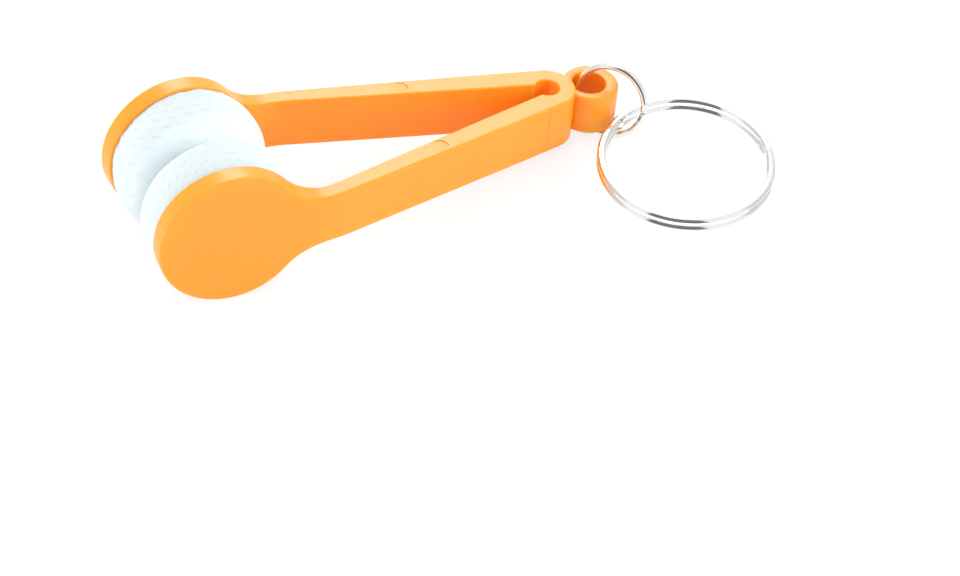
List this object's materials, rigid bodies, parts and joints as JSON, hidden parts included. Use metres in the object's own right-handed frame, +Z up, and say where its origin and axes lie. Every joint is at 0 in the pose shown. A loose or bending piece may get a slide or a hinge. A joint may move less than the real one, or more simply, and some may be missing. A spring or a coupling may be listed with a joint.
{
  "type": "spectacle lens cleaning tongs",
  "caption": "Moulded plastic spring tongs with facing round cloth-covered pads for wiping spectacle lenses, ending in a loop with a jump ring and a split key ring.",
  "frame": {"origin": "centre of the bounding box's bottom face, on the surface that the part lies on", "axes": "+X from the pads towards the key ring, +Z up from the surface, +Y to the left arm"},
  "size_m": [0.091, 0.041, 0.0218],
  "materials": {
    "plastic": "moulded, smooth semi-gloss orange",
    "adhesive": "thin adhesive film",
    "foam": "soft open foam",
    "cloth": "white knitted microfibre cloth",
    "nickel": "bright nickel-plated steel wire"
  },
  "bodies": {
    "bow": {"spring_bow": "plastic"},
    "left_arm": {"left_arm": "plastic", "left_pad_adhesive": "adhesive", "left_pad_foam": "foam", "left_pad_cover": "cloth"},
    "right_arm": {"right_arm": "plastic", "right_pad_adhesive": "adhesive", "right_pad_foam": "foam", "right_pad_cover": "cloth"},
    "jump_ring": {"jump_ring": "nickel"},
    "key_ring": {"key_ring": "nickel"}
  },
  "joints": [
    {"name": "left_arm_bend", "type": "hinge", "parent": "bow", "child": "left_arm", "pos_m": [0.01784, 0.00823, 0.00547], "axis": [0.1027, 0, 0.9947], "range_deg": [-4, 1], "stiffness_Nm_per_rad": 3},
    {"name": "right_arm_bend", "type": "hinge", "parent": "bow", "child": "right_arm", "pos_m": [0.01784, 0.00823, 0.00547], "axis": [-0.1027, 0, -0.9947], "range_deg": [-4, 1], "stiffness_Nm_per_rad": 3},
    {"name": "jump_ring_swing", "type": "hinge", "parent": "bow", "child": "jump_ring", "pos_m": [0.02455, 0.00823, 0.00478], "axis": [0.1027, 0, 0.9947], "range_deg": [-25, 140]},
    {"name": "key_ring_flap", "type": "hinge", "parent": "jump_ring", "child": "key_ring", "pos_m": [0.0281, 0.00363, 0.00322], "axis": [0.9272, 0.3746, 0], "range_deg": [-60, 75]}
  ],
  "couplings": [
    {"joint": "right_arm_bend", "follows": "left_arm_bend", "ratio": 1}
  ]
}
